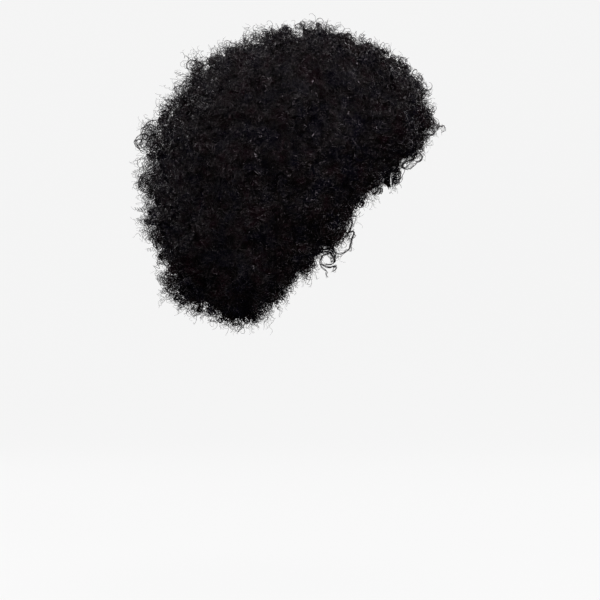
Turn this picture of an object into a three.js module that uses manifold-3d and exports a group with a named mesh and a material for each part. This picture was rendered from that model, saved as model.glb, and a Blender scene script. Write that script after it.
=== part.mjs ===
// Afro wig: a stretch cap with six sections of curly hair round it.
// Millimetres, +Z up. The wearer looks along -Y and has the left ear on +X.
// The origin is the highest point inside the cap, where the wig sits on the crown of the head.

import * as THREE from 'three';
import { mergeVertices } from 'three/addons/utils/BufferGeometryUtils.js';
import Module from 'manifold-3d';

const wasm = await Module();
wasm.setup();

// Head that the cap is sized for, about 55 cm round
const headBreadth = 154;
const browAhead = 99;        // origin forward to the brow
const occiputBehind = 93;    // origin back to the back of the skull
const widestDown = 82;       // origin down to the widest ring
const chinDown = 228;        // origin down to the chin
const capWall = 2;

// Afro, seen from the side round its own centre
const afroReach = 170;       // usual distance from the centre to the tips of the locks
const afroHalfWidth = 165;   // middle of the wig to the tips at each side
const centreBehind = 21;     // origin back to the centre of the afro
const centreDown = 67;       // origin down to the centre of the afro
const edgeFlare = 30;        // how far the face opening widens from the skin to the outer side

// Locks, each a leaning tuft whose lower part is sunk in the backing
const lockRadius = 36;
const lockHeight = 23;       // widest ring to the tip
const lockRise = 12;         // backing to the tip
const lockSpacing = 59;
const edgeLockRadius = 21;   // smaller locks along the edge of the face opening
const edgeLockHeight = 18;
const edgeLockRise = 8;
const edgeLockSpacing = 45;
const edgeWave = 5;          // how far the edge of the opening swings in and out
const edgeWaveLength = 90;
const templeLockLength = 48; // lock that hangs beside the left temple
const templeLockRadius = 18;

// Gaps and partings
const clearance = 0.3;       // cap to hair
const partingGap = 0.4;      // section to section
const earBehind = 5;         // origin back to the middle of a side section
const earDown = 100;         // origin down to the middle of a side section
const sidePartingTilt = 46;  // degrees between the side parting and the line from ear to ear

// Fullness of the forms, 2 for an ellipse and more for a blunter one
const skullRoundness = 2.5;
const ringRoundness = 2.2;
const afroRoundness = 2.15;

// Unevenness of the locks, in shares of their own sizes and spacing
const lockLean = 0.35;
const lockUnevenness = 0.12;
const riseUnevenness = 0.25;
const spacingUnevenness = 0.2;

// Mesh steps
const headSides = 24;
const domeSteps = 5;
const tuftSides = 8;
const backingSides = 30;
const openingSteps = 24;
const openingStepLength = 30;

const farAway = 3 * afroReach;
const hairBottom = -(centreDown + 1.35 * afroReach);
const skinAside = headBreadth / 2;
const afroCentre = new THREE.Vector2(centreBehind, -centreDown);
const { degToRad } = THREE.MathUtils;

// Rings below the widest one: below is a share of the drop from there to the chin,
// half of the half breadth, ahead of browAhead, behind of occiputBehind
const headRings = [
  { below: 0, half: 1, ahead: 1, behind: 1 },
  { below: 0.16, half: 0.97, ahead: 1, behind: 0.95 },
  { below: 0.36, half: 0.93, ahead: 0.97, behind: 0.84 },
  { below: 0.57, half: 0.85, ahead: 0.85, behind: 0.74 },
  { below: 0.81, half: 0.74, ahead: 0.35, behind: 0.69 },
  { below: 1.11, half: 0.7, ahead: 0.2, behind: 0.65 },
];

// Outline of the afro from the side: angle in degrees, 0 ahead and 90 up, reach as a share of
// afroReach, and the size of the lock that stands there as a share of the usual one
const outline = [
  { angle: 8, reach: 0.93, lock: 0.7 },
  { angle: 22, reach: 1.06, lock: 0.85 },
  { angle: 40, reach: 1.08, lock: 1 },
  { angle: 54, reach: 1.07, lock: 0.9 },
  { angle: 68, reach: 1.04, lock: 0.85 },
  { angle: 80, reach: 1.03, lock: 0.75 },
  { angle: 97, reach: 0.975, lock: 0.9 },
  { angle: 119, reach: 0.99, lock: 0.85 },
  { angle: 130, reach: 0.995, lock: 0.65 },
  { angle: 143, reach: 0.975, lock: 0.8 },
  { angle: 162, reach: 1.02, lock: 1 },
  { angle: 185, reach: 1.035, lock: 0.9 },
  { angle: 201, reach: 1.055, lock: 0.85 },
  { angle: 213, reach: 1.1, lock: 0.75 },
  { angle: 228, reach: 1.185, lock: 1 },
  { angle: 243, reach: 1.15, lock: 0.85 },
  { angle: 257, reach: 1.075, lock: 0.8 },
  { angle: 285, reach: 0.96, lock: 0 },
  { angle: 330, reach: 0.88, lock: 0 },
];

// Edge of the face and neck opening from the side: ahead is a share of browAhead,
// down of chinDown
const openingEdge = [
  { ahead: 1.75, down: 0 },
  { ahead: 1.37, down: 0.12 },
  { ahead: 1.22, down: 0.16 },
  { ahead: 0.99, down: 0.19 },
  { ahead: 0.84, down: 0.27 },
  { ahead: 0.74, down: 0.32 },
  { ahead: 0.62, down: 0.43 },
  { ahead: 0.47, down: 0.475 },
  { ahead: 0.44, down: 0.555 },
  { ahead: 0.27, down: 0.65 },
  { ahead: 0.1, down: 0.69 },
  { ahead: -0.13, down: 0.79 },
  { ahead: -0.3, down: 0.87 },
  { ahead: -0.57, down: 1.04 },
  { ahead: -0.8, down: 1.22 },
];

// Rim of the cap from the side, in the same shares
const capRim = [
  { ahead: 2, down: 0.16 },
  { ahead: 0.95, down: 0.165 },
  { ahead: 0.84, down: 0.2 },
  { ahead: 0.7, down: 0.29 },
  { ahead: 0.54, down: 0.39 },
  { ahead: 0.39, down: 0.48 },
  { ahead: 0.28, down: 0.475 },
  { ahead: 0.16, down: 0.42 },
  { ahead: -0.03, down: 0.4 },
  { ahead: -0.22, down: 0.43 },
  { ahead: -0.42, down: 0.56 },
  { ahead: -0.6, down: 0.71 },
  { ahead: -0.8, down: 0.77 },
  { ahead: -2, down: 0.78 },
];

// Side view of a tuft, in shares of its radius and of its height over the widest ring
const tuftProfile = [
  { across: 0, up: -0.7 },
  { across: 0.85, up: -0.5 },
  { across: 1, up: 0 },
  { across: 0.7, up: 0.7 },
  { across: 0, up: 1 },
];

// Middle sections between two partings, angles as in the outline but round the skull's centre
const middleSections = [
  { name: 'front_hair', from: -55, to: 65 },
  { name: 'crown_hair', from: 65, to: 130 },
  { name: 'back_hair', from: 130, to: 200 },
  { name: 'nape_hair', from: 200, to: 305 },
];

// Repeatable scatter between -1 and 1
function scatter(seed, turn) {
  const wave = Math.sin(seed * 12.9898 + turn * 78.233) * 43758.5453;
  return 2 * (wave - Math.floor(wave)) - 1;
}

// Cosine and sine on a superellipse
function blunt(value, roundness) {
  return Math.sign(value) * Math.abs(value) ** (2 / roundness);
}

function reshape(geometry, place) {
  const position = geometry.getAttribute('position');
  const point = new THREE.Vector3();
  for (let i = 0; i < position.count; i += 1) {
    place(point.fromBufferAttribute(position, i));
    position.setXYZ(i, point.x, point.y, point.z);
  }
  return geometry;
}

// Closed body of a geometry: its vertices merged, its closed-up triangles left out
function solidOf(geometry) {
  const bare = geometry.clone();
  bare.deleteAttribute('normal');
  bare.deleteAttribute('uv');
  const merged = mergeVertices(bare, 1e-3);
  const corners = merged.index.array;
  const triangles = [];
  for (let i = 0; i < corners.length; i += 3) {
    const [a, b, c] = corners.slice(i, i + 3);
    if (a !== b && b !== c && c !== a) triangles.push(a, b, c);
  }
  const mesh = new wasm.Mesh({
    numProp: 3,
    vertProperties: merged.getAttribute('position').array,
    triVerts: new Uint32Array(triangles),
  });
  return new wasm.Manifold(mesh);
}

// Side-view point, behind and up, of a row that gives shares ahead and down
function sidePoint(row) {
  return new THREE.Vector2(-row.ahead * browAhead, -row.down * chinDown);
}

// Side-view shape run across the wig from one side to the other
function runAcross(shape, steps) {
  const options = { depth: 2 * farAway, steps, curveSegments: 2, bevelEnabled: false };
  const run = new THREE.ExtrudeGeometry(shape, options);
  return reshape(run, (p) => p.set(p.z - farAway, p.x, p.y));
}

// Skull and neck as one closed form, grown all round by an offset
function headForm(offset) {
  const bottom = hairBottom + offset;
  const drop = chinDown - widestDown;
  const profile = [new THREE.Vector2(0, bottom), new THREE.Vector2(1, bottom)];
  for (const ring of headRings.toReversed()) {
    profile.push(new THREE.Vector2(1, -widestDown - ring.below * drop));
  }
  for (let i = 1; i <= domeSteps; i += 1) {
    const climb = (Math.PI / 2) * (i / domeSteps);
    const share = i === domeSteps ? 0 : blunt(Math.cos(climb), skullRoundness);
    const height = (widestDown + offset) * blunt(Math.sin(climb), skullRoundness);
    profile.push(new THREE.Vector2(share, -widestDown + height));
  }
  const form = new THREE.LatheGeometry(profile, headSides);
  return solidOf(reshape(form, (p) => {
    const share = Math.hypot(p.x, p.z);
    const heading = Math.atan2(p.x, p.z);
    const ring = headRingAt(p.y);
    const aside = share * blunt(Math.sin(heading), ringRoundness) * (ring.half * skinAside + offset);
    const along = -share * blunt(Math.cos(heading), ringRoundness);
    const reach = along < 0 ? ring.ahead * browAhead : ring.behind * occiputBehind;
    p.set(aside, along * (reach + offset), p.y);
  }));
}

function headRingAt(level) {
  const below = (-level - widestDown) / (chinDown - widestDown);
  const next = headRings.findIndex((ring) => ring.below >= below);
  if (next === 0) return headRings[0];
  if (next < 0) return headRings.at(-1);
  const low = headRings[next - 1];
  const high = headRings[next];
  const share = (below - low.below) / (high.below - low.below);
  const mix = (key) => THREE.MathUtils.lerp(low[key], high[key], share);
  return { half: mix('half'), ahead: mix('ahead'), behind: mix('behind') };
}

function wigCap() {
  const rim = capRim.map(sidePoint);
  const below = new THREE.Shape();
  below.moveTo(rim[0].x, -farAway);
  below.lineTo(rim[0].x, rim[0].y);
  below.splineThru(rim.slice(1));
  below.lineTo(rim.at(-1).x, -farAway);
  return headForm(capWall).subtract(headForm(0)).subtract(solidOf(runAcross(below, 1)));
}

// Reach of the afro at a side-view angle in radians, from the centre to the tips
const outlineCurve = new THREE.CatmullRomCurve3(
  outline.map((row) => new THREE.Vector3(Math.cos(degToRad(row.angle)), Math.sin(degToRad(row.angle)))
    .multiplyScalar(row.reach)),
  true,
);
const outlinePoints = outlineCurve.getPoints(180);

function reachAt(angle) {
  const heading = new THREE.Vector3(Math.cos(angle), Math.sin(angle));
  const nearest = (a, b) => (a.angleTo(heading) < b.angleTo(heading) ? a : b);
  return outlinePoints.reduce(nearest).length() * afroReach;
}

// Point on the afro at an angle seen from the side and a tilt towards +X, sunk under the tips
function afroPoint(angle, tilt, sunk) {
  const inward = blunt(Math.cos(tilt), afroRoundness) * (reachAt(angle) - sunk);
  return new THREE.Vector3(
    blunt(Math.sin(tilt), afroRoundness) * (afroHalfWidth - sunk),
    afroCentre.x - inward * Math.cos(angle),
    afroCentre.y + inward * Math.sin(angle),
  );
}

function backing() {
  const ball = new THREE.SphereGeometry(1, backingSides, backingSides / 2);
  return solidOf(reshape(ball, (p) => {
    const tilt = Math.asin(THREE.MathUtils.clamp(-p.y, -1, 1));
    p.copy(afroPoint(Math.atan2(p.x, p.z), tilt, lockRise));
  }));
}

// Tuft round its widest ring, with its tip leaning aside and pointing outward
function tuft(middle, outward, radius, height, seed) {
  const profile = tuftProfile.map(({ across, up }) => new THREE.Vector2(across, up));
  const form = new THREE.LatheGeometry(profile, tuftSides);
  const lean = lockLean * scatter(seed, 1);
  const breadth = 1 + lockUnevenness * scatter(seed, 2);
  reshape(form, (p) => {
    const across = breadth * p.x + lean * Math.max(0, p.y) ** 2;
    p.set(radius * across, height * p.y, radius * p.z);
  });
  form.rotateY(Math.PI * scatter(seed, 3));
  form.applyQuaternion(new THREE.Quaternion().setFromUnitVectors(new THREE.Vector3(0, 1, 0), outward));
  form.translate(middle.x, middle.y, middle.z);
  return solidOf(form);
}

function outerLock(angle, tilt, size, seed) {
  const tip = afroPoint(angle, tilt, 0);
  const outward = tip.clone().sub(afroPoint(angle, tilt, lockHeight)).normalize();
  const rise = riseUnevenness * lockRise * scatter(seed, 4);
  const middle = tip.addScaledVector(outward, rise - lockHeight);
  return tuft(middle, outward, lockRadius * size, lockHeight, seed);
}

// Locks on the mid line where the outline has them, then rows towards each side
function outerLocks() {
  const locks = outline.filter((row) => row.lock > 0)
    .map((row) => outerLock(degToRad(row.angle), 0, row.lock, row.angle));
  const rows = Math.round((Math.PI / 2) * afroHalfWidth / lockSpacing);
  for (const side of [-1, 1]) {
    for (let row = 1; row <= rows; row += 1) {
      const tilt = (Math.PI / 2) * (row / rows);
      const round = 2 * Math.PI * afroReach * Math.cos(tilt);
      const count = Math.max(1, Math.round(round / lockSpacing));
      for (let i = 0; i < count; i += 1) {
        const seed = side * (20 * row + i);
        const place = i + 0.5 * (row % 2) + spacingUnevenness * scatter(seed, 5);
        const angle = 2 * Math.PI * place / count;
        const tilted = side * (tilt + spacingUnevenness / rows * scatter(seed, 6));
        const size = 1 + lockUnevenness * scatter(seed, 7);
        if (!inOpening(afroPoint(angle, tilted, lockRise))) locks.push(outerLock(angle, tilted, size, seed));
      }
    }
  }
  return locks;
}

// Edge of the opening at the skin, as a curve and as a closed shape in front of it
const edgePoints = openingEdge.map(sidePoint);
const edgeCurve = new THREE.SplineCurve(edgePoints);
const openingShape = new THREE.Shape([
  ...edgeCurve.getPoints(openingSteps),
  new THREE.Vector2(edgePoints.at(-1).x, -farAway),
  new THREE.Vector2(-farAway, -farAway),
  new THREE.Vector2(-farAway, edgePoints[0].y),
]);
const openingMiddle = new THREE.Vector2(-1.5 * browAhead, -1.15 * chinDown);

// Widening of the opening at a place aside: waves, and a flare from the skin outward
function flareAt(aside) {
  const share = Math.max(0, Math.abs(aside) - skinAside) / (afroHalfWidth - skinAside);
  const wave = edgeWave * Math.sin(2 * Math.PI * aside / edgeWaveLength);
  return edgeFlare * Math.min(share, 1.2) ** 2 + wave;
}

function flared(point, aside, direction = 1) {
  const away = point.clone().sub(openingMiddle).normalize();
  return point.clone().addScaledVector(away, direction * flareAt(aside));
}

function faceOpening() {
  const steps = 2 * Math.round(farAway / openingStepLength);
  return solidOf(reshape(runAcross(openingShape, steps), (p) => {
    const side = flared(new THREE.Vector2(p.y, p.z), p.x);
    p.set(p.x, side.x, side.y);
  }));
}

function inOpening(point) {
  const { x, y } = flared(new THREE.Vector2(point.y, point.z), point.x, -1);
  const corners = openingShape.getPoints();
  let inside = false;
  corners.forEach((a, i) => {
    const b = corners[(i + 1) % corners.length];
    const crosses = (a.y > y) !== (b.y > y);
    if (crosses && x < a.x + ((b.x - a.x) * (y - a.y)) / (b.y - a.y)) inside = !inside;
  });
  return inside;
}

// Half width of the backing at a side-view point, none outside it
function backingAside(point) {
  const spoke = point.clone().sub(afroCentre);
  const share = spoke.length() / (reachAt(Math.atan2(spoke.y, -spoke.x)) - lockRise);
  if (share >= 1) return 0;
  const tilt = Math.acos(share ** (afroRoundness / 2));
  return blunt(Math.sin(tilt), afroRoundness) * (afroHalfWidth - lockRise);
}

// Small locks that round the edge of the opening, in rows from the skin to the outer side
function edgeLocks() {
  const locks = [];
  const count = Math.round(edgeCurve.getLength() / edgeLockSpacing);
  for (let i = 1; i < count; i += 1) {
    const place = edgeCurve.getPointAt(i / count);
    const along = edgeCurve.getTangentAt(i / count);
    const intoHair = new THREE.Vector2(-along.y, along.x);
    const outer = backingAside(place) - edgeLockRadius / 2;
    const inner = place.x < -browAhead ? edgeLockSpacing / 2 : skinAside;
    const rows = Math.round((outer - inner) / edgeLockSpacing);
    for (let row = 0; row <= rows; row += 1) {
      for (const side of [-1, 1]) {
        const seed = side * (10 * i + row);
        const shift = spacingUnevenness / 2 * scatter(seed, 8);
        const aside = side * (outer - (row + shift) * edgeLockSpacing);
        const rise = edgeLockRise * (1 + riseUnevenness * scatter(seed, 9));
        const edge = flared(place, aside).addScaledVector(intoHair, edgeLockHeight - rise);
        const outward = new THREE.Vector3(0, -intoHair.x, -intoHair.y);
        const middle = new THREE.Vector3(aside, edge.x, edge.y);
        locks.push(tuft(middle, outward, edgeLockRadius, edgeLockHeight, seed));
      }
    }
  }
  return locks;
}

// Lock beside the left temple, hung from the fringe: tufts one below the other, the last one small
function templeLock() {
  const top = sidePoint({ ahead: 0.93, down: 0.2 });
  const down = new THREE.Vector3(0, 0, -1);
  const shares = [1, 0.9, 0.8];
  const step = templeLockLength / shares.length;
  return shares.map((share, i) => {
    const middle = new THREE.Vector3(skinAside + 0.6 * templeLockRadius, top.x, top.y - i * step);
    return tuft(middle, down, share * templeLockRadius, 1.2 * step, i + 1);
  });
}

function allHair() {
  const body = wasm.Manifold.union([backing(), ...outerLocks()]).subtract(faceOpening());
  return wasm.Manifold.union([body, ...edgeLocks(), ...templeLock()])
    .subtract(headForm(capWall + clearance));
}

// Cone that opens from the middle of the wig to one side, moved that way by a shift
function sideCone(side, shift) {
  const spread = farAway * Math.tan(degToRad(sidePartingTilt));
  const cone = new THREE.ConeGeometry(spread, farAway, headSides);
  cone.translate(0, -farAway / 2, 0);
  cone.rotateZ(side * Math.PI / 2);
  cone.translate(side * shift, earBehind, -earDown);
  return solidOf(cone);
}

// Wedge between two partings, drawn in by half a parting gap at each
function middleWedge(from, to) {
  const half = degToRad(to - from) / 2;
  const middle = degToRad(to + from) / 2;
  const ray = (angle) => new THREE.Vector2(-Math.cos(angle), Math.sin(angle));
  const apex = ray(middle).multiplyScalar(partingGap / 2 / Math.sin(half));
  apex.y -= widestDown;
  const corners = [-half, -half / 2, half / 2, half]
    .map((turn) => ray(middle + turn).multiplyScalar(farAway).add(apex));
  return solidOf(runAcross(new THREE.Shape([apex, ...corners]), 1));
}

// Largest body of a section, without the crumbs that a parting cuts off a lock
function mainBody(solid) {
  return solid.decompose().reduce((a, b) => (a.volume() > b.volume() ? a : b));
}

function meshOf(name, solid, material) {
  const { vertProperties, triVerts } = mainBody(solid).getMesh();
  const geometry = new THREE.BufferGeometry();
  geometry.setAttribute('position', new THREE.BufferAttribute(vertProperties, 3));
  geometry.setIndex(new THREE.BufferAttribute(triVerts, 1));
  geometry.computeVertexNormals();
  const mesh = new THREE.Mesh(geometry, material);
  mesh.name = name;
  return mesh;
}

const hairMaterial = () => new THREE.MeshStandardMaterial({ color: 0x15120f, roughness: 0.6, metalness: 0 });
const capMaterial = () => new THREE.MeshStandardMaterial({ color: 0x0e0d0d, roughness: 0.85, metalness: 0 });

const wig = new THREE.Group();
wig.add(meshOf('wig_cap', wigCap(), capMaterial()));

const hair = allHair();
const sides = [{ name: 'right_side_hair', side: -1 }, { name: 'left_side_hair', side: 1 }];
let middle = hair;
for (const { name, side } of sides) {
  wig.add(meshOf(name, hair.intersect(sideCone(side, 0)), hairMaterial()));
  const shift = -partingGap / Math.sin(degToRad(sidePartingTilt));
  middle = middle.subtract(sideCone(side, shift));
}
for (const { name, from, to } of middleSections) {
  wig.add(meshOf(name, middle.intersect(middleWedge(from, to)), hairMaterial()));
}

export default wig;
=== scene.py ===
import math

import bmesh
import bpy
import numpy as np
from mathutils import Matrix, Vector, noise
from mathutils.bvhtree import BVHTree


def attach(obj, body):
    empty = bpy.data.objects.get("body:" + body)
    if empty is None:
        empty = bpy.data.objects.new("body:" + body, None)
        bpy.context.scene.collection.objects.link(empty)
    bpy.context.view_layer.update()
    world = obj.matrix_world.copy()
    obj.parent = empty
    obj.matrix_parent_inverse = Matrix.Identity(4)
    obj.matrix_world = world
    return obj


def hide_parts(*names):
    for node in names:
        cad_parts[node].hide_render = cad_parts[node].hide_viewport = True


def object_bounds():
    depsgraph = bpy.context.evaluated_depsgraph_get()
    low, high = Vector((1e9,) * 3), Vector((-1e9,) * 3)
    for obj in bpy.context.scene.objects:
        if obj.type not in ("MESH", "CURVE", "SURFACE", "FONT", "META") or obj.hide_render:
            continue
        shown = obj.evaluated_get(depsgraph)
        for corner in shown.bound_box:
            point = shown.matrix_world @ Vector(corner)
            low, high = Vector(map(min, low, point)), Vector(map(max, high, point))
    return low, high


# Afro wig: a stretch cap under one dark mass of curly fibre, with loose curls all over it.
# Metres, +Z up. The wearer looks along -Y and has the left ear on +X.

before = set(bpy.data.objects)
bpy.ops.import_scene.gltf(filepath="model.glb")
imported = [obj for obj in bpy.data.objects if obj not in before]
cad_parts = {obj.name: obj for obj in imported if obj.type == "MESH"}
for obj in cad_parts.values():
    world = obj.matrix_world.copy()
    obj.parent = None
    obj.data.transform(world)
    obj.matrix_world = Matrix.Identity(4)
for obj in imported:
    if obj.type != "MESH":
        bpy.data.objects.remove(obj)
cadLow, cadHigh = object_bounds()
mm = 0.001
hairNodes = ["front_hair", "crown_hair", "back_hair", "nape_hair", "left_side_hair", "right_side_hair"]
afroCentre = np.array([0.0, 21.0, -67.0]) * mm
seed = 7
noise.seed_set(seed)  # the vector noise changes from run to run without it


def linear(hexColour):
    channels = [int(hexColour[i:i + 2], 16) / 255 for i in (1, 3, 5)]
    return (*[c / 12.92 if c <= 0.04045 else ((c + 0.055) / 1.055) ** 2.4 for c in channels], 1.0)


def addNode(tree, kind, settings=None, links=None):
    node = tree.nodes.new(kind)
    for key, value in (settings or {}).items():
        if isinstance(key, int) or key in node.inputs:
            node.inputs[key].default_value = value
        else:
            setattr(node, key, value)
    for key, source in (links or {}).items():
        tree.links.new(source, node.inputs[key])
    return node


def newMaterial(name):
    material = bpy.data.materials.new(name)
    material.use_nodes = True
    material.node_tree.nodes.clear()
    return material, material.node_tree


def addObject(name, mesh, material):
    obj = bpy.data.objects.new(name, mesh)
    bpy.context.scene.collection.objects.link(obj)
    mesh.materials.clear()
    mesh.materials.append(material)
    for polygon in mesh.polygons:
        polygon.use_smooth = True
    return obj


# Modacrylic wig fibre dyed black and steamed into tight curls: a smooth drawn filament,
# near black with a soft narrow sheen, and a little bluer, browner or redder from bunch to bunch.
fibreLook = {
    "tints": [(0.38, "#010109"), (0.47, "#010101"), (0.55, "#050301"), (0.64, "#0f0205")],
    "gleam": "#fff0fa",
    "bunch": 22 * mm,         # how far one tint reaches
    "bunchDetail": 3.0,
    "roughness": 0.32,
    "refraction": 1.5,
    "specular": 0.5,
    "curlSize": 11 * mm,      # curls pressed into the mass under the loose ones
    "curlDetail": 1.5,
    "curlLines": 9.0,
    "curlDepth": 1.2 * mm,
}


def fibreTint(tree, coordinates):
    spread = addNode(tree, "ShaderNodeTexNoise", {
        "Scale": 1 / fibreLook["bunch"],
        "Detail": fibreLook["bunchDetail"],
    }, {"Vector": coordinates})
    ramp = addNode(tree, "ShaderNodeValToRGB", None, {"Fac": spread.outputs["Fac"]})
    stops = ramp.color_ramp.elements
    while len(stops) < len(fibreLook["tints"]):
        stops.new(0.5)
    for stop, (position, tint) in zip(stops, fibreLook["tints"]):
        stop.position, stop.color = position, linear(tint)
    return ramp.outputs["Color"]


def fibreShader(tree, tint, extra=None):
    shader = addNode(tree, "ShaderNodeBsdfPrincipled", {
        "Roughness": fibreLook["roughness"],
        "IOR": fibreLook["refraction"],
        "Specular IOR Level": fibreLook["specular"],
        "Specular Tint": linear(fibreLook["gleam"]),
    }, {"Base Color": tint, **(extra or {})})
    addNode(tree, "ShaderNodeOutputMaterial", None, {"Surface": shader.outputs["BSDF"]})


def curlMaterial():
    material, tree = newMaterial("curledModacrylic")
    place = addNode(tree, "ShaderNodeTexCoord").outputs["Object"]
    fibreShader(tree, fibreTint(tree, place))
    return material


def massMaterial():
    material, tree = newMaterial("packedModacrylic")
    place = addNode(tree, "ShaderNodeTexCoord").outputs["Object"]
    field = addNode(tree, "ShaderNodeTexNoise", {
        "Scale": 1 / fibreLook["curlSize"],
        "Detail": fibreLook["curlDetail"],
    }, {"Vector": place})
    turns = addNode(tree, "ShaderNodeMath", {
        "operation": "MULTIPLY",
        1: fibreLook["curlLines"] * 2 * math.pi,
    }, {0: field.outputs["Fac"]})
    lines = addNode(tree, "ShaderNodeMath", {"operation": "SINE"}, {0: turns.outputs[0]})
    bump = addNode(tree, "ShaderNodeBump", {"Strength": 1.0, "Distance": fibreLook["curlDepth"]},
                   {"Height": lines.outputs[0]})
    fibreShader(tree, fibreTint(tree, place), {"Normal": bump.outputs["Normal"]})
    return material


curlFibre = curlMaterial()
massFibre = massMaterial()


# One mesh of some nodes of the frame, merged, and grown outwards if asked
def nodeMesh(names, grow=0.0):
    bm = bmesh.new()
    for name in names:
        bm.from_mesh(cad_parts[name].data)
    bmesh.ops.remove_doubles(bm, verts=bm.verts, dist=1e-6)
    bm.normal_update()
    if grow:
        for vert in bm.verts:
            vert.co += grow * vert.normal
    return bm


def treeOf(name):
    bm = nodeMesh([name])
    tree = BVHTree.FromBMesh(bm)
    bm.free()
    return tree


def arraysOf(mesh):
    mesh.calc_loop_triangles()
    verts = np.empty(len(mesh.vertices) * 3, dtype=np.float32)
    mesh.vertices.foreach_get("co", verts)
    normals = np.empty(len(mesh.vertices) * 3, dtype=np.float32)
    mesh.vertices.foreach_get("normal", normals)
    tris = np.empty(len(mesh.loop_triangles) * 3, dtype=np.int32)
    mesh.loop_triangles.foreach_get("vertices", tris)
    return verts.reshape(-1, 3).astype(float), normals.reshape(-1, 3).astype(float), tris.reshape(-1, 3)


capTree = treeOf("wig_cap")
sectionTrees = {name: treeOf(name) for name in hairNodes}


# The mass of hair under the loose curls. The six sections are one body here, because the
# partings between them don't show on the real one.
massSizes = {
    "voxel": 4.0 * mm,
    "overlap": 0.5 * mm,      # sections grown so that they meet
    "smoothing": 0.5,
    "smoothRounds": 5,
    "bunch": 17 * mm,         # lumps of packed curls
    "bunchOctaves": 2,
    "bunchDepth": 11.0 * mm,
    "bunchMiddle": 0.36,      # share of the depth that keeps the size of the whole
    "sunk": (5.0 * mm, 9.0 * mm),    # how far it lies under the skin, in front and at the back
    "ripple": 7 * mm,
    "rippleDepth": 2.5 * mm,
    "thinShare": 0.22,        # a thin lock is sunk less, by this share of its thickness
    "inside": 0.5 * mm,       # where that is measured from, under the skin
    "endless": 1.0,           # thickness where nothing is met
    "capReach": 12 * mm,      # things move less and less this close to the cap
    "capStill": 0.25,         # and not at all in this share of it
    "loosening": 1.6,         # towards the back, for each length of the wig
    "loosenStart": -0.5,
    "airySlope": 1.5,
    # Where the edge is airy, seen from the side: (behind, down), how wide, how deep, in mm
    "airy": [((-142, 22), 28, 10), ((184, 27), 26, 4), ((190, 79), 24, 6), ((165, 192), 28, 7),
             ((-45, 118), 18, 4), ((65, -91), 26, 3)],
}


def remeshed():
    bm = nodeMesh(hairNodes, massSizes["overlap"])
    mesh = bpy.data.meshes.new("hairMassRaw")
    bm.to_mesh(mesh)
    bm.free()
    obj = bpy.data.objects.new("hairMassRaw", mesh)
    bpy.context.scene.collection.objects.link(obj)
    remesh = obj.modifiers.new("voxels", "REMESH")
    remesh.mode = "VOXEL"
    remesh.voxel_size = massSizes["voxel"]
    smooth = obj.modifiers.new("soften", "SMOOTH")
    smooth.factor = massSizes["smoothing"]
    smooth.iterations = massSizes["smoothRounds"]
    done = bpy.data.meshes.new_from_object(obj.evaluated_get(bpy.context.evaluated_depsgraph_get()))
    bpy.data.objects.remove(obj)
    bpy.data.meshes.remove(mesh)
    return done


def capDistance(point):
    return capTree.find_nearest(point)[3]


# The wig is looser towards the back: 0 in front, 1 behind
def backness(points):
    along = (points[:, 1] - cadLow[1]) / (cadHigh[1] - cadLow[1])
    return np.clip(massSizes["loosening"] * along + massSizes["loosenStart"], 0, 1)


def mixed(front, back, share):
    return front + (back - front) * share


# Share of a move that a place takes, none next to the cap
def freedom(points):
    near = np.array([capDistance(p) for p in points])
    return np.clip(near / massSizes["capReach"] - massSizes["capStill"], 0, 1)[:, None]


# The lock that hangs beside the left temple: drawn up, then narrower towards its tip
templeLock = {
    "axis": (88 * mm, -101 * mm),
    "from": (66 * mm, -72 * mm),     # only past this to the left and ahead
    "top": -54 * mm,
    "bottom": -98 * mm,
    "tip": 0.45,
    "drawn": 0.72,
}


def narrowLock(verts):
    x, y, z = verts.T
    inLock = (x > templeLock["from"][0]) & (y < templeLock["from"][1]) & (z < templeLock["top"])
    down = np.clip((templeLock["top"] - z) / (templeLock["top"] - templeLock["bottom"]), 0, 1)
    pull = np.where(inLock, (1 - templeLock["tip"]) * down, 0)[:, None]
    verts[:, :2] += pull * (np.array(templeLock["axis"]) - verts[:, :2])
    verts[inLock, 2] = mixed(templeLock["top"], z[inLock], templeLock["drawn"])


# How deep the airy places are sunk
def airiness(points):
    depth = np.zeros(len(points))
    for (behind, down), reach, deep in massSizes["airy"]:
        away = np.linalg.norm(points[:, 1:] - [behind * mm, -down * mm], axis=1) / (reach * mm)
        depth += deep * mm * np.clip(1 - away ** 2, 0, 1) ** massSizes["airySlope"]
    return depth


# Skin that the curls stand on: the mass with its lumps
def lumpySkin(mesh):
    verts, normals, _ = arraysOf(mesh)
    narrowLock(verts)
    lumps = np.array([noise.turbulence(Vector(p) / massSizes["bunch"], massSizes["bunchOctaves"], True)
                      for p in verts])
    rise = massSizes["bunchDepth"] * (lumps - massSizes["bunchMiddle"]) - airiness(verts)
    verts += freedom(verts) * rise[:, None] * normals
    mesh.vertices.foreach_set("co", verts.astype(np.float32).ravel())
    mesh.update()
    return arraysOf(mesh)


# How thick the mass is under each place of its skin
def thickness(points, normals):
    found = [skinTree.ray_cast(Vector(p - massSizes["inside"] * n), Vector(-n))[3]
             for p, n in zip(points, normals)]
    return np.array([massSizes["endless"] if distance is None else distance for distance in found])


def buildMass(mesh):
    verts, normals, _ = arraysOf(mesh)
    ripples = np.array([noise.noise(Vector(p) / massSizes["ripple"]) for p in verts])
    depth = mixed(*massSizes["sunk"], backness(verts)) - massSizes["rippleDepth"] * ripples
    depth = np.minimum(depth, massSizes["thinShare"] * thickness(verts, normals))
    verts -= freedom(verts) * depth[:, None] * normals
    mesh.vertices.foreach_set("co", verts.astype(np.float32).ravel())
    mesh.update()
    mass = addObject("hairMass", mesh, massFibre)
    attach(mass, "root")
    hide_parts(*hairNodes)


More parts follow.
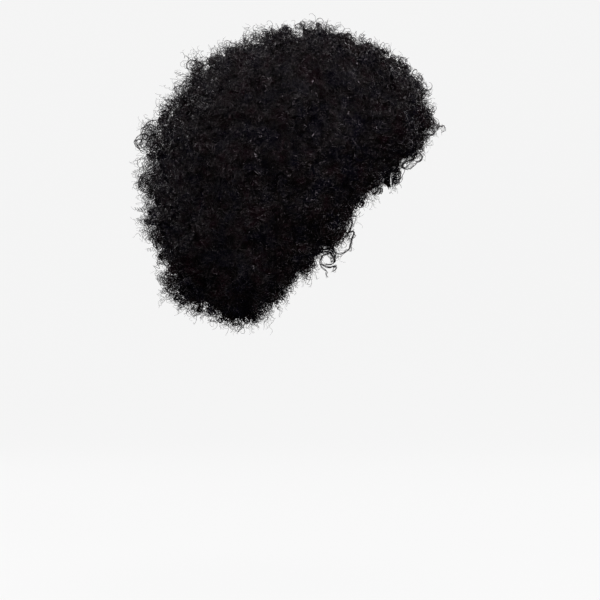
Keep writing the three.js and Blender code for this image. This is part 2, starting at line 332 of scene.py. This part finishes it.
rawMass = remeshed()
skinVerts, skinNormals, skinTris = lumpySkin(rawMass)
skinTree = BVHTree.FromPolygons([Vector(v) for v in skinVerts], [tuple(map(int, t)) for t in skinTris])
buildMass(rawMass)
print("hair mass:", len(skinTris), "triangles")


def unit(vectors):
    return vectors / np.maximum(np.linalg.norm(vectors, axis=-1, keepdims=True), 1e-12)


noiseShift = (7.1, 3.7, 5.3)  # from one field of noise to the next


def noiseField(points, size, number):
    shift = Vector([number * step for step in noiseShift])
    return np.array([noise.noise_vector(Vector(p) / size + shift) for p in points])


# Roots spread over the skin of the mass, with the way out at each
def spreadRoots(count, random, clear):
    corners = skinVerts[skinTris]
    area = np.linalg.norm(np.cross(corners[:, 1] - corners[:, 0], corners[:, 2] - corners[:, 0]), axis=1)
    ladder = np.cumsum(area) / area.sum()
    face = np.searchsorted(ladder, (np.arange(count) + random.random(count)) / count)
    face = np.minimum(face, len(skinTris) - 1)
    a, b = random.random((2, count))
    flip = a + b > 1
    a, b = np.where(flip, 1 - a, a), np.where(flip, 1 - b, b)
    weights = np.stack([1 - a - b, a, b], axis=1)[:, :, None]
    points = (corners[face] * weights).sum(axis=1)
    out = unit((skinNormals[skinTris[face]] * weights).sum(axis=1))
    free = np.array([capDistance(p) > clear for p in points])
    return points[free], out[free]


def sectionsOf(points):
    distances = np.array([[sectionTrees[name].find_nearest(p)[3] for name in hairNodes] for p in points])
    return distances.argmin(axis=1)


# Points evenly along the smooth curves through control points, (curls, controls, 3)
def alongCurves(controls, steps):
    last = controls.shape[1] - 1
    padded = np.concatenate([2 * controls[:, :1] - controls[:, 1:2], controls,
                             2 * controls[:, -1:] - controls[:, -2:-1]], axis=1)
    place = np.linspace(0, last, steps + 1)
    index = np.minimum(place.astype(int), last - 1)
    t = (place - index)[None, :, None]
    p0, p1, p2, p3 = (padded[:, index + k] for k in range(4))
    return 0.5 * (2 * p1 + (p2 - p0) * t + (2 * p0 - 5 * p1 + 4 * p2 - p3) * t ** 2
                  + (3 * p1 - p0 - 3 * p2 + p3) * t ** 3)


windShape = {
    "twist": 0.7,             # how far the loops' plane turns along a lock
    "squash": (0.65, 1.0),    # the loops are a little oval
    "fraySpread": 0.4,        # share of the radius by which frayed strands differ
    "pace": 0.05,             # the loops crowd and part by this share of the length
    "swell": 0.22,            # and widen and narrow by this share of the radius
    "swellPace": 5,           # radians along the lock
}


# Locks wound round their axes, each of a few strands side by side. Radius, turns and growth
# are one number a lock, and tilt is how far the loops may lean over, so that they show as rings.
# The result is the strands' paths and the way out at each point.
def wind(axes, radius, turns, growth, tilt, strands, fray, random):
    count, points = axes.shape[:2]
    guide = (random.normal(size=(count, 1, 3))
             + [[[0.0], [windShape["twist"]]]] * random.normal(size=(count, 2, 3)))
    hand = random.choice([-1.0, 1.0], size=(count, 1))
    phase = random.uniform(0, 2 * math.pi, (count, 1))
    swing = random.uniform(0, 2 * math.pi, (count, 2))
    squash = random.uniform(*windShape["squash"], (count, 1))
    tip = random.uniform(0, tilt, (count, 1, 1))
    axes, guide, hand, phase, swing, squash, tip, radius, turns, growth = (
        np.repeat(values, strands, axis=0)
        for values in (axes, guide, hand, phase, swing, squash, tip, radius, turns, growth))
    count *= strands
    if strands > 1:
        phase = phase + fray * random.uniform(-1, 1, (count, 1))
        radius = radius * (1 + windShape["fraySpread"] * fray * random.uniform(-1, 1, count))
        axes = axes + fray * mm * random.normal(size=(count, 1, 3))
    u = np.linspace(0, 1, points)[None, :]
    tangent = unit(np.gradient(axes, axis=1))
    aside = unit(np.cross(tangent, mixed(guide[:, :1], guide[:, 1:], u[..., None])))
    pole = np.cos(tip) * tangent + np.sin(tip) * aside
    second = np.cross(aside, tangent)
    first = np.cross(second, pole)
    along = u + windShape["pace"] * np.sin(2 * math.pi * u + swing[:, :1])
    angle = phase + hand * 2 * math.pi * turns[:, None] * along
    swell = 1 + windShape["swell"] * np.sin(windShape["swellPace"] * u + swing[:, 1:])
    reach = radius[:, None] * (1 + growth[:, None] * (u - 0.5)) * swell
    radial = np.cos(angle)[..., None] * first + (squash * np.sin(angle))[..., None] * second
    return axes + reach[..., None] * radial, radial


tubeShape = {
    "end": 0.45,              # width of the ends, as a share of the middle's
    "start": 6,               # full width from a sixth of the length
    "taper": 4,               # up to the last quarter
    # Each curl has a square cell of the texture: its walls, and its two ends beside them
    "walls": (0.7, 0.9),
    "margin": 0.05,
    "endCorners": ((0.8, 0.1), (0.95, 0.1), (0.87, 0.4)),
    "otherEnd": (0, 0.5),
}


# Closed three-sided tubes along the paths, thinner towards both ends
def tubes(paths, radial, width):
    count, points = paths.shape[:2]
    tangent = unit(np.gradient(paths, axis=1))
    side = unit(radial - (radial * tangent).sum(-1, keepdims=True) * tangent)
    other = np.cross(tangent, side)
    u = np.linspace(0, 1, points)[None, :]
    full = np.minimum(1, np.minimum(tubeShape["start"] * u, tubeShape["taper"] * (1 - u)))
    half = 0.5 * width[:, None] * mixed(tubeShape["end"], 1, full)
    turn = 2 * math.pi * np.arange(3)[:, None] / 3
    ring = np.cos(turn) * side[:, :, None] + np.sin(turn) * other[:, :, None]
    verts = paths[:, :, None] + half[..., None, None] * ring
    k, j = np.meshgrid(np.arange(points - 1), np.arange(3), indexing="ij")
    k, j = k.ravel(), j.ravel()
    n = (j + 1) % 3
    quad = np.stack([3 * k + j, 3 * k + n, 3 * k + 3 + n, 3 * k + 3 + j], axis=1)
    faces = np.concatenate([quad[:, [0, 1, 2]], quad[:, [0, 2, 3]], [[0, 2, 1]],
                            [[3 * points - 3, 3 * points - 2, 3 * points - 1]]])
    uvQuad = np.stack([np.stack([j, k], 1), np.stack([j + 1, k], 1), np.stack([j + 1, k + 1], 1),
                       np.stack([j, k + 1], 1)], axis=1)
    uvQuad = uvQuad / [3, points - 1] * tubeShape["walls"] + tubeShape["margin"]
    endUv = np.array(tubeShape["endCorners"])[None]
    uv = np.concatenate([uvQuad[:, [0, 1, 2]], uvQuad[:, [0, 2, 3]], endUv, endUv + tubeShape["otherEnd"]])
    allFaces = faces[None] + (3 * points * np.arange(count))[:, None, None]
    allUv = np.broadcast_to(uv[None], (count, *uv.shape))
    return verts.reshape(-1, 3), allFaces.reshape(-1, 3), allUv.reshape(count, -1, 2)


# One piece of many curls, from groups of (paths, radial, width)
def curlPiece(name, groups):
    verts, faces, cells, offset = [], [], [], 0
    for paths, radial, width in groups:
        v, f, uv = tubes(paths, radial, width)
        verts.append(v)
        faces.append(f + offset)
        cells += list(uv)
        offset += len(v)
    columns = math.ceil(math.sqrt(len(cells)))
    uv = np.concatenate([(cell + [i % columns, i // columns]) / columns for i, cell in enumerate(cells)])
    verts, faces = np.concatenate(verts), np.concatenate(faces)
    mesh = bpy.data.meshes.new(name)
    mesh.vertices.add(len(verts))
    mesh.vertices.foreach_set("co", verts.astype(np.float32).ravel())
    mesh.loops.add(faces.size)
    mesh.loops.foreach_set("vertex_index", faces.astype(np.int32).ravel())
    mesh.polygons.add(len(faces))
    mesh.polygons.foreach_set("loop_start", np.arange(0, faces.size, 3, dtype=np.int32))
    mesh.polygons.foreach_set("use_smooth", np.ones(len(faces), dtype=bool))
    layer = mesh.uv_layers.new(name="OFBake")
    layer.data.foreach_set("uv", uv.astype(np.float32).ravel())
    mesh.update(calc_edges=True)
    mesh.validate()
    obj = bpy.data.objects.new(name, mesh)
    bpy.context.scene.collection.objects.link(obj)
    mesh.materials.append(curlFibre)
    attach(obj, "root")
    print(name + ":", len(cells), "curls,", len(faces), "triangles")


# Locks that lie in the surface and make its grain
lyingSizes = {
    "count": 925,
    "tilt": 0.6,
    "fray": 0.5,
    "strands": 2,
    "length": (14 * mm, 26 * mm),
    "radius": (2.6 * mm, 4.8 * mm),
    "turn": (3.6 * mm, 6.4 * mm),    # length of one turn along the axis
    "width": (0.75 * mm, 1.1 * mm),
    "height": (-3.5 * mm, 1.0 * mm),    # of the axis over the skin
    "arch": 3 * mm,           # higher than that in its middle
    "dip": 2 * mm,            # and lower as a whole
    "growth": (-0.7, 0.7),
    "clear": 6 * mm,          # kept off the cap by this
    "drift": 2.2,             # how much a lock lies as its neighbours do
    "driftSize": 30 * mm,     # how far that reaches
    "stray": 0.6,             # how much it goes its own way
    "veer": 0.45,             # and changes it at each control
    "controls": 6,
    "stepsATurn": 6,
}


def layCurls(sizes, random):
    points, out = spreadRoots(sizes["count"], random, sizes["clear"])
    count = len(points)
    drift = (noiseField(points, sizes["driftSize"], 1) * sizes["drift"]
             + random.normal(size=(count, 3)) * sizes["stray"])
    length = random.uniform(*sizes["length"], count)
    stride = length / (sizes["controls"] - 1)
    base = random.uniform(*sizes["height"], count)
    controls = np.empty((count, sizes["controls"], 3))
    heading = unit(drift - (drift * out).sum(1, keepdims=True) * out)
    place = points.copy()
    for k in range(sizes["controls"]):
        share = k / (sizes["controls"] - 1)
        height = base + sizes["arch"] * math.sin(math.pi * share) - sizes["dip"]
        for i in range(count):
            near, normal, _, _ = skinTree.find_nearest(place[i])
            controls[i, k] = np.array(near) + height[i] * np.array(normal)
            flat = heading[i] - heading[i].dot(normal) * np.array(normal)
            heading[i] = flat / max(np.linalg.norm(flat), 1e-9)
            place[i] = np.array(near) + stride[i] * heading[i]
        heading = unit(heading + sizes["veer"] * random.normal(size=(count, 3)))
    turns = length / random.uniform(*sizes["turn"], count)
    return points, controls, turns


# Curls that stand out of the surface and make the soft edge, longer in some bunches
standingSizes = {
    "count": 5180,
    "strands": 1,
    "tilt": 1.45,
    "fray": 0.5,
    "length": (5 * mm, 14 * mm),
    "backLength": 1.5,        # longer at the back by this
    "radius": (2.3 * mm, 4.6 * mm),
    "turn": (3.6 * mm, 6.6 * mm),
    "width": (0.4 * mm, 0.54 * mm),
    "growth": (-0.8, 0.6),
    "start": -3.5 * mm,       # of the axis over the skin
    "radial": 0.6,            # how much it points away from the middle of the wig
    "lean": 0.8,              # as its neighbours do
    "bunch": 24 * mm,         # how far they reach
    "stray": 0.35,            # and its own way
    "drop": 0.0,              # and down
    "bend": 0.4,
    "dropBend": 1.5,
    "leastShare": 0.35,       # of the range of lengths
    "bunchShare": 0.9,
    "ownShare": 0.5,
    "ownPower": 1.5,          # few are long by themselves
    "extraTurn": 0.3,
    "controls": 4,
    "clear": 6 * mm,          # kept off the cap by this
    "stepsATurn": 6,
}

# Large open curls here and there that stand clear of the rest
openSizes = {**standingSizes,
    "count": 420,
    "tilt": 1.5,
    "length": (5 * mm, 12 * mm),
    "radius": (3.4 * mm, 6.0 * mm),
    "turn": (4.5 * mm, 8.0 * mm),
    "width": (0.55 * mm, 0.8 * mm),
    "growth": (-0.9, 0.2),
    "start": -1.0 * mm,
    "stepsATurn": 10,
}

# Bolder ringlets of the fringe
fringeSizes = {**openSizes,
    "count": 1700,
    "strands": 2,
    "length": (8 * mm, 16 * mm),
    "radius": (3.2 * mm, 5.2 * mm),
    "turn": (4.0 * mm, 6.5 * mm),
    "width": (0.6 * mm, 0.8 * mm),
    "start": -4.0 * mm,
    "drop": 0.35,
    "stepsATurn": 8,
    "ahead": 96 * mm,         # only in front of this
}

# Fine wisps that hang into the face and neck opening
wispSizes = {**standingSizes,
    "count": 2600,
    "length": (6 * mm, 17 * mm),
    "radius": (1.6 * mm, 3.0 * mm),
    "turn": (3.6 * mm, 6.5 * mm),
    "width": (0.36 * mm, 0.5 * mm),
    "start": -3.0 * mm,
    "drop": 0.7,
    "toward": (0.0, -0.6, -0.8),
    "facing": 0.5,            # only where the skin looks that way
}

# Curls round the rim of the face opening, that hang over the edge of the cap
rimSizes = {**standingSizes,
    "count": 2600,
    "length": (5 * mm, 12 * mm),
    "radius": (2.0 * mm, 3.8 * mm),
    "width": (0.45 * mm, 0.6 * mm),
    "start": -1.5 * mm,
    "drop": 0.3,
    "clear": 2.5 * mm,
    "middle": (0.0, -230 * mm, -150 * mm),
    "facing": 0.55,           # only where the skin looks to there
}

# Bunches of fine loops that stand far out of the outline, places seen from the side in mm
bunchSizes = {**standingSizes,
    "count": 9000,
    "length": (10 * mm, 18 * mm),
    "radius": (2.6 * mm, 4.6 * mm),
    "width": (0.4 * mm, 0.55 * mm),
    "start": 0.0,
    "places": [(184, 28), (186, 128), (136, -52), (70, -92),
               (-138, 22), (-118, 48), (150, 196), (188, 78)],
    "within": 15 * mm,
    "aside": 32 * mm,
}


def standCurls(sizes, random):
    points, out = spreadRoots(sizes["count"], random, sizes["clear"])
    chosen = np.ones(len(points), dtype=bool)
    if "ahead" in sizes:
        chosen &= points[:, 1] < -sizes["ahead"]
    if "toward" in sizes:
        chosen &= out @ np.array(sizes["toward"]) > sizes["facing"]
    if "middle" in sizes:
        chosen &= (out * unit(np.array(sizes["middle"]) - points)).sum(axis=1) > sizes["facing"]
    if "places" in sizes:
        places = np.array(sizes["places"]) * mm * [1, -1]
        near = np.linalg.norm(points[:, None, 1:] - places[None], axis=2).min(axis=1)
        chosen &= (near < sizes["within"]) & (np.abs(points[:, 0]) < sizes["aside"])
    points, out = points[chosen], out[chosen]
    count = len(points)
    spoke = unit(points - afroCentre)
    facing = np.clip((spoke * out).sum(1, keepdims=True), 0, 1)
    lean = noiseField(points, sizes["bunch"], 4)
    down = sizes["drop"] * np.array([0.0, 0.0, -1.0])
    way = unit(out + sizes["radial"] * facing * spoke + sizes["lean"] * lean + down
               + sizes["stray"] * random.normal(size=(count, 3)))
    bunch = np.array([noise.noise(Vector(p) / sizes["bunch"]) for p in points])
    share = np.clip(sizes["leastShare"] + sizes["bunchShare"] * bunch
                    + sizes["ownShare"] * random.random(count) ** sizes["ownPower"], 0, 1)
    length = mixed(*sizes["length"], share) * mixed(1, sizes["backLength"], backness(points))
    bend = sizes["bend"] * length[:, None] * (random.uniform(-1, 1, (count, 3)) + sizes["dropBend"] * down)
    start = points + sizes["start"] * out
    steps = np.linspace(0, 1, sizes["controls"])[None, :, None]
    controls = start[:, None] + steps * (length[:, None] * way)[:, None] + steps ** 2 * bend[:, None]
    turns = length / random.uniform(*sizes["turn"], count) + sizes["extraTurn"]
    return points, controls, turns


curlReach = 15 * mm           # past the CAD box, and no curl goes further
fewestSteps = 6


def withinReach(paths):
    low, high = np.array(cadLow) - curlReach, np.array(cadHigh) + curlReach
    return ((paths > low) & (paths < high)).all(axis=(1, 2))


# The curls of each section, wound in groups with the same number of steps
def grouped(curls, sizes, random):
    points, controls, turns = curls
    section = sectionsOf(points)
    steps = np.maximum(fewestSteps, np.round(turns * sizes["stepsATurn"] / 2).astype(int) * 2)
    groups = {name: [] for name in hairNodes}
    for number, name in enumerate(hairNodes):
        for step in np.unique(steps):
            pick = (section == number) & (steps == step)
            if pick.any():
                count = pick.sum()
                axes = alongCurves(controls[pick], int(step))
                paths, radial = wind(axes, random.uniform(*sizes["radius"], count), turns[pick],
                                     random.uniform(*sizes["growth"], count), sizes["tilt"],
                                     sizes["strands"], sizes["fray"], random)
                width = random.uniform(*sizes["width"], len(paths))
                kept = withinReach(paths)
                if kept.any():
                    groups[name].append((paths[kept], radial[kept], width[kept]))
    return groups


# Single ringlets that show clear of the rest, where the real ones hang. Each has how far it is
# towards +X in mm, how full it is, then the places (behind, down) that it runs through, in mm
# from the origin.
ringletSizes = {
    "strands": 7,             # of a full one
    "fray": 0.75,
    "radius": 1.0 * mm,       # the strands wind round each other
    "growth": 0.9,            # and part towards the tip
    "width": (0.6 * mm, 0.9 * mm),
    "sway": 3.5 * mm,         # in and out as it turns
    "swayPace": 0.9,          # radians from place to place
    "placesATurn": 4,
    "loosePlacesATurn": 3,
    "looseStrands": 3,        # thin ones that stand off the lock
    "looseRadius": 2.0 * mm,
    "looseTilt": 0.9,
    "looseWidth": (0.34 * mm, 0.5 * mm),
    "stepsAPlace": 3,
    "rows": [
        # right temple
        (-80, 0.7, [(-37, 113), (-42, 119), (-45, 124), (-47, 129), (-46, 135), (-44, 139), (-41, 141),
                    (-38, 139), (-37, 135), (-37, 130), (-40, 126)]),
        (-80, 0.5, [(-30, 139), (-34, 143), (-38, 146), (-41, 145), (-44, 142), (-48, 140), (-50, 141),
                    (-50, 144), (-48, 148), (-47, 152), (-46, 156), (-45, 160), (-42, 162), (-38, 164),
                    (-34, 166), (-29, 166)]),
        # right cheek
        (-78, 1.0, [(-4, 156), (-10, 159), (-15, 160), (-21, 160), (-26, 162), (-29, 166), (-28, 171),
                    (-26, 175), (-21, 176), (-17, 176)]),
        (-80, 0.8, [(-6, 159), (-12, 163), (-18, 164), (-22, 164), (-25, 167), (-26, 171), (-23, 174)]),
        (-77, 0.6, [(-21, 166), (-17, 166), (-13, 168), (-12, 171), (-12, 175), (-15, 178), (-19, 181),
                    (-23, 181), (-27, 179), (-30, 180), (-28, 183), (-24, 185)]),
        (-78, 0.3, [(-10, 175), (-13, 180), (-18, 184), (-17, 188), (-20, 192)]),
        # under the fringe
        (-24, 0.6, [(-107, 62), (-111, 57), (-116, 55), (-120, 53), (-121, 50), (-124, 48), (-127, 47),
                    (-130, 50), (-130, 54), (-126, 57), (-122, 56)]),
        (-28, 0.35, [(-103, 55), (-108, 51), (-112, 55), (-108, 59), (-106, 63), (-111, 63), (-115, 60),
                     (-119, 56)]),
        (-30, 0.5, [(-102, 48), (-106, 53), (-109, 48), (-112, 52), (-115, 47), (-118, 50), (-121, 52),
                    (-119, 55)]),
        (-20, 0.3, [(-105, 58), (-110, 64), (-117, 64), (-123, 60), (-127, 55)]),
        # tip of the fringe
        (-8, 0.3, [(-134, 26), (-139, 24), (-145, 22), (-148, 19), (-150, 16), (-153, 14), (-156, 13),
                   (-158, 15), (-157, 19), (-154, 21)]),
        (-14, 0.25, [(-136, 16), (-142, 15), (-145, 19), (-144, 23), (-140, 25), (-137, 22)]),
        # ring at the back
        (-6, 0.6, [(180, 69), (187, 69), (193, 70), (197, 74), (199, 79), (199, 84), (196, 88),
                   (192, 90), (186, 89)]),
        (-12, 0.3, [(188, 67), (193, 69), (198, 72), (201, 78), (201, 84), (198, 89), (194, 93)]),
        # bunch over that ring
        (-4, 0.3, [(182, 7), (188, 7), (193, 11), (196, 15), (198, 20), (200, 25), (198, 31)]),
        (-10, 0.25, [(193, 23), (200, 24), (205, 28), (207, 32), (205, 37), (201, 41), (195, 44),
                     (188, 42)]),
        (-6, 0.25, [(183, 14), (189, 11), (192, 14), (190, 18), (186, 16), (189, 13), (193, 17),
                    (195, 21), (191, 24), (187, 21)]),
        (-8, 0.25, [(188, 26), (195, 22), (198, 26), (194, 30), (191, 27), (193, 23), (198, 30),
                    (200, 35), (197, 39), (192, 36)]),
        (-9, 0.25, [(193, 29), (200, 29), (204, 31), (202, 35), (198, 34), (200, 29), (205, 33),
                    (202, 39), (197, 40), (192, 42)]),
        (-7, 0.25, [(181, 23), (187, 25), (190, 29), (193, 33), (191, 37), (186, 34), (188, 30)]),
        # top, towards the back
        (-5, 0.25, [(123, -58), (129, -61), (133, -58), (131, -54), (127, -56), (130, -62), (135, -61),
                    (138, -56), (135, -52), (131, -53)]),
        (-3, 0.25, [(125, -48), (131, -46), (136, -50), (134, -54), (130, -52), (132, -46), (137, -44),
                    (140, -48)]),
        (4, 0.25, [(127, -66), (131, -62), (135, -65), (139, -65), (144, -63), (146, -60), (146, -56),
                   (143, -54), (140, -56)]),
        (-6, 0.35, [(163, -29), (158, -33), (154, -35), (150, -37), (147, -39), (142, -38), (138, -36),
                    (134, -32)]),
        # left temple, a short full lock
        (86, 2.2, [(-105, 46), (-107, 52), (-109, 59), (-109, 65), (-108, 71), (-105, 76), (-103, 78)]),
        (90, 2.0, [(-102, 48), (-105, 53), (-106, 60), (-106, 67), (-104, 73), (-102, 77)]),
    ],
}


def loneRinglets(sizes, random):
    groups = []
    for aside, full, places in sizes["rows"]:
        along = np.arange(len(places))
        behind, down = np.array(places).T * mm
        sway = aside * mm + sizes["sway"] * np.sin(sizes["swayPace"] * along)
        controls = np.stack([sway, behind, -down], axis=1)
        axis = alongCurves(controls[None], sizes["stepsAPlace"] * along[-1])
        lock = (full * sizes["radius"], sizes["placesATurn"], 0.0,
                round(full * sizes["strands"]), sizes["width"])
        loose = (sizes["looseRadius"], sizes["loosePlacesATurn"], sizes["looseTilt"],
                 sizes["looseStrands"], sizes["looseWidth"])
        for radius, placesATurn, tilt, strands, width in (lock, loose):
            paths, radial = wind(axis, np.array([radius]), np.array([along[-1] / placesATurn]),
                                 np.array([sizes["growth"]]), tilt, strands, full * sizes["fray"], random)
            groups.append((paths, radial, random.uniform(*width, len(paths))))
    return groups


random = np.random.default_rng(seed)
kinds = [grouped(layCurls(lyingSizes, random), lyingSizes, random)]
for sizes in (standingSizes, openSizes, fringeSizes, wispSizes, rimSizes, bunchSizes):
    kinds.append(grouped(standCurls(sizes, random), sizes, random))
pieceNames = {"front_hair": "frontCurls", "crown_hair": "crownCurls", "back_hair": "backCurls",
              "nape_hair": "napeCurls", "left_side_hair": "leftCurls", "right_side_hair": "rightCurls"}
for node, piece in pieceNames.items():
    curlPiece(piece, [group for kind in kinds for group in kind[node]])
curlPiece("loneRinglets", loneRinglets(ringletSizes, random))


# Stretch net of knitted polyester and elastane, with the wefts of hair sewn across it: a matt
# dark grey mesh, and a darker ridge every centimetre or so that rises towards the ears
capLook = {
    "thread": "#4b4547",
    "gap": "#1b1819",
    "weft": "#100e0f",
    "row": 12 * mm,           # from one weft to the next
    "rise": 3.0,              # metres a square metre aside
    "ridge": 1.4 * mm,
    "ridgeEdge": (0.55, 0.85),
    "cell": 3.4 * mm,         # drawn coarser than the real net, so that it shows
    "uneven": 0.35,
    "threadEdge": (0.12, 0.3),    # from the middle of a thread to the gap, in cells
    "threadDepth": 0.6 * mm,
    "roughness": 0.75,
    "specular": 0.3,
    "cuts": 2,                # the cap's faces are cut finer and rounded
    "smoothing": 0.5,
    "smoothRounds": 6,
}


def netMaterial():
    material, tree = newMaterial("stretchNet")
    place = addNode(tree, "ShaderNodeTexCoord").outputs["Object"]
    parts = addNode(tree, "ShaderNodeSeparateXYZ", None, {"Vector": place})
    square = addNode(tree, "ShaderNodeMath", {"operation": "MULTIPLY"},
                     {0: parts.outputs["X"], 1: parts.outputs["X"]})
    height = addNode(tree, "ShaderNodeMath", {"operation": "MULTIPLY_ADD", 1: -capLook["rise"]},
                     {0: square.outputs[0], 2: parts.outputs["Z"]})
    turns = addNode(tree, "ShaderNodeMath", {"operation": "MULTIPLY", 1: 2 * math.pi / capLook["row"]},
                    {0: height.outputs[0]})
    rows = addNode(tree, "ShaderNodeMath", {"operation": "COSINE"}, {0: turns.outputs[0]})
    weft = addNode(tree, "ShaderNodeMapRange", {
        "From Min": capLook["ridgeEdge"][0],
        "From Max": capLook["ridgeEdge"][1],
    }, {"Value": rows.outputs[0]})
    cells = addNode(tree, "ShaderNodeTexVoronoi", {
        "Scale": 1 / capLook["cell"],
        "Randomness": capLook["uneven"],
        "feature": "DISTANCE_TO_EDGE",
    }, {"Vector": place})
    hole = addNode(tree, "ShaderNodeMapRange", {
        "From Min": capLook["threadEdge"][0],
        "From Max": capLook["threadEdge"][1],
    }, {"Value": cells.outputs["Distance"]})
    net = addNode(tree, "ShaderNodeMix", {"data_type": "RGBA"}, {0: hole.outputs["Result"]})
    net.inputs[6].default_value = linear(capLook["thread"])
    net.inputs[7].default_value = linear(capLook["gap"])
    colour = addNode(tree, "ShaderNodeMix", {"data_type": "RGBA"},
                     {0: weft.outputs["Result"], 6: net.outputs[2]})
    colour.inputs[7].default_value = linear(capLook["weft"])
    ridges = addNode(tree, "ShaderNodeBump", {"Strength": 1.0, "Distance": capLook["ridge"]},
                     {"Height": weft.outputs["Result"]})
    bump = addNode(tree, "ShaderNodeBump", {
        "Strength": 1.0,
        "Distance": capLook["threadDepth"],
        "invert": True,
    }, {"Height": hole.outputs["Result"], "Normal": ridges.outputs["Normal"]})
    shader = addNode(tree, "ShaderNodeBsdfPrincipled", {
        "Roughness": capLook["roughness"],
        "Specular IOR Level": capLook["specular"],
    }, {"Base Color": colour.outputs[2], "Normal": bump.outputs["Normal"]})
    addNode(tree, "ShaderNodeOutputMaterial", None, {"Surface": shader.outputs["BSDF"]})
    return material


def buildCap():
    bm = nodeMesh(["wig_cap"])
    bmesh.ops.subdivide_edges(bm, edges=bm.edges, cuts=capLook["cuts"], use_grid_fill=True)
    for _ in range(capLook["smoothRounds"]):
        bmesh.ops.smooth_vert(bm, verts=bm.verts, factor=capLook["smoothing"],
                              use_axis_x=True, use_axis_y=True, use_axis_z=True)
    mesh = bpy.data.meshes.new("netCap")
    bm.to_mesh(mesh)
    bm.free()
    cap = addObject("netCap", mesh, netMaterial())
    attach(cap, "root")
    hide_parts("wig_cap")
    print("cap:", len(mesh.polygons), "faces")


buildCap()


# Plain pale studio: a round floor that sweeps up into a wall all the way round, of acrylic lit
# from behind, so it shows pale
studio = {
    "floor": -546 * mm,
    "reach": 3.6,
    "height": 3.2,
    "sweep": 1.4,             # radius of the bend from floor to wall
    "sweepSteps": 12,
    "sides": 64,
    "acrylic": "#404040",
    "roughness": 0.9,
    "specular": 0.1,
    "glow": 0.87,
    "air": 0.02,              # light from everywhere
    "lampSize": 0.9,
}


def buildStudio():
    bm = bmesh.new()
    flat, bend, top = studio["reach"] - studio["sweep"], studio["sweep"], studio["height"]
    profile = [(0.0, 0.0), (flat, 0.0)]
    for k in range(1, studio["sweepSteps"] + 1):
        turn = math.pi / 2 * k / studio["sweepSteps"]
        profile.append((flat + bend * math.sin(turn), bend * (1 - math.cos(turn))))
    profile.append((studio["reach"], top))
    verts = [bm.verts.new((x, 0.0, z + studio["floor"])) for x, z in profile]
    edges = [bm.edges.new(pair) for pair in zip(verts, verts[1:])]
    bmesh.ops.spin(bm, geom=verts + edges, cent=(0, 0, 0), axis=(0, 0, 1), angle=2 * math.pi,
                   steps=studio["sides"], use_merge=True, use_duplicate=False)
    bmesh.ops.remove_doubles(bm, verts=bm.verts, dist=1e-5)
    bmesh.ops.recalc_face_normals(bm, faces=bm.faces)
    bmesh.ops.reverse_faces(bm, faces=bm.faces)
    mesh = bpy.data.meshes.new("studioFloor")
    bm.to_mesh(mesh)
    bm.free()
    material, tree = newMaterial("backlitAcrylic")
    shader = addNode(tree, "ShaderNodeBsdfPrincipled", {
        "Base Color": linear(studio["acrylic"]),
        "Roughness": studio["roughness"],
        "Specular IOR Level": studio["specular"],
        "Emission Color": (1, 1, 1, 1),
        "Emission Strength": studio["glow"],
    })
    addNode(tree, "ShaderNodeOutputMaterial", None, {"Surface": shader.outputs["BSDF"]})
    floor = addObject("studioFloor", mesh, material)
    floor.visible_glossy = False  # the fibre shines by the lamps alone


def addLamp(name, power, place, target):
    data = bpy.data.lights.new(name, "AREA")
    data.shape = "DISK"
    data.size = studio["lampSize"]
    data.energy = power
    lamp = bpy.data.objects.new(name, data)
    bpy.context.scene.collection.objects.link(lamp)
    lamp.location = place
    lamp.visible_camera = False
    lamp.rotation_mode = "QUATERNION"
    lamp.rotation_quaternion = (Vector(target) - Vector(place)).to_track_quat("-Z", "Y")


buildStudio()
for name, power, place in (
        ("rightFrontLight", 25, (-1.7, -0.9, 0.75)),
        ("rightBackLight", 9, (-1.2, 1.6, 0.6)),
        ("leftFrontLight", 19, (1.5, -1.4, 0.8)),
        ("leftBackLight", 14, (1.5, 1.3, 0.6)),
        ("backLight", 9, (0.3, 2.0, 0.5)),
        ("topLight", 8, (0.1, -0.2, 1.7))):
    addLamp(name, power, place, afroCentre)

world = bpy.data.worlds.new("studioAir")
bpy.context.scene.world = world
world.use_nodes = True
air = world.node_tree.nodes["Background"]
air.inputs["Color"].default_value = (1, 1, 1, 1)
air.inputs["Strength"].default_value = studio["air"]

bpy.context.scene.view_settings.view_transform = "Standard"
bpy.context.scene.view_settings.look = "None"

# Camera level with the middle of the picture, straight at the right side of the wig
cameraPlace = {
    "away": 2.4,
    "behind": 12 * mm,
    "down": 218 * mm,
    "frameWidth": 708 * mm,   # at the middle of the wig
    "sensor": 36,
}
cameraData = bpy.data.cameras.new("camera")
cameraData.sensor_width = cameraPlace["sensor"]
cameraData.lens = cameraPlace["sensor"] * cameraPlace["away"] / cameraPlace["frameWidth"]
camera = bpy.data.objects.new("camera", cameraData)
bpy.context.scene.collection.objects.link(camera)
camera.location = (-cameraPlace["away"], cameraPlace["behind"], -cameraPlace["down"])
camera.rotation_euler = (math.pi / 2, 0, -math.pi / 2)
bpy.context.scene.camera = camera

print("scene made:", sum(len(mesh.loop_triangles) for mesh in bpy.data.meshes), "triangles")
